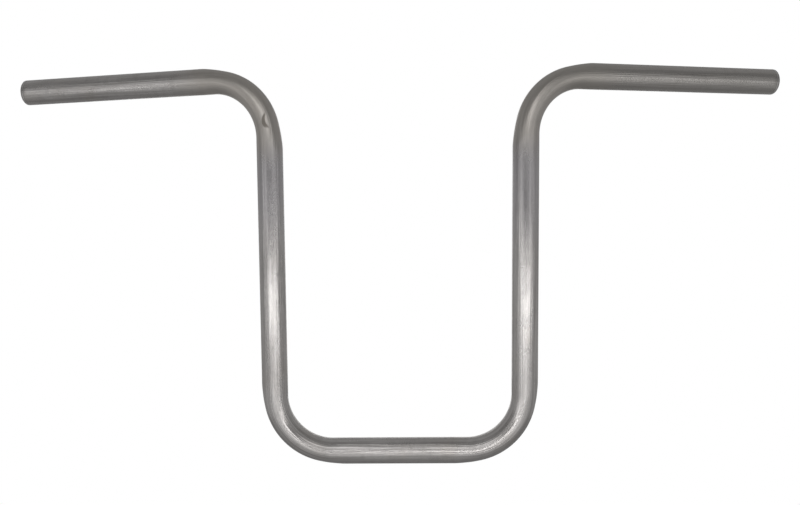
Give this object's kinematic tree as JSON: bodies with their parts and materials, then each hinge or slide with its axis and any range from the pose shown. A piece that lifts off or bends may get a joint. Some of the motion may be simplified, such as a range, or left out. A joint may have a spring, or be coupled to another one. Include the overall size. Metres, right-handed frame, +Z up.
{
  "type": "motorbike ape hanger handlebar",
  "caption": "Tall U-shaped handlebar bent from one round steel tube, with a straight for the riser clamps, upright arms and grips that sweep out and back.",
  "frame": {"origin": "the middle of the straight that the riser clamps hold, on the tube's centre line", "axes": "+X along that straight to the rider's left, +Y back towards the rider, +Z up"},
  "size_m": [0.7716, 0.0903, 0.3887],
  "materials": {
    "raw_steel": "bare unpainted mill steel, satin, with fine streaks along the tube"
  },
  "bodies": {
    "root": {"handlebar_tube": "raw_steel"}
  },
  "joints": []
}
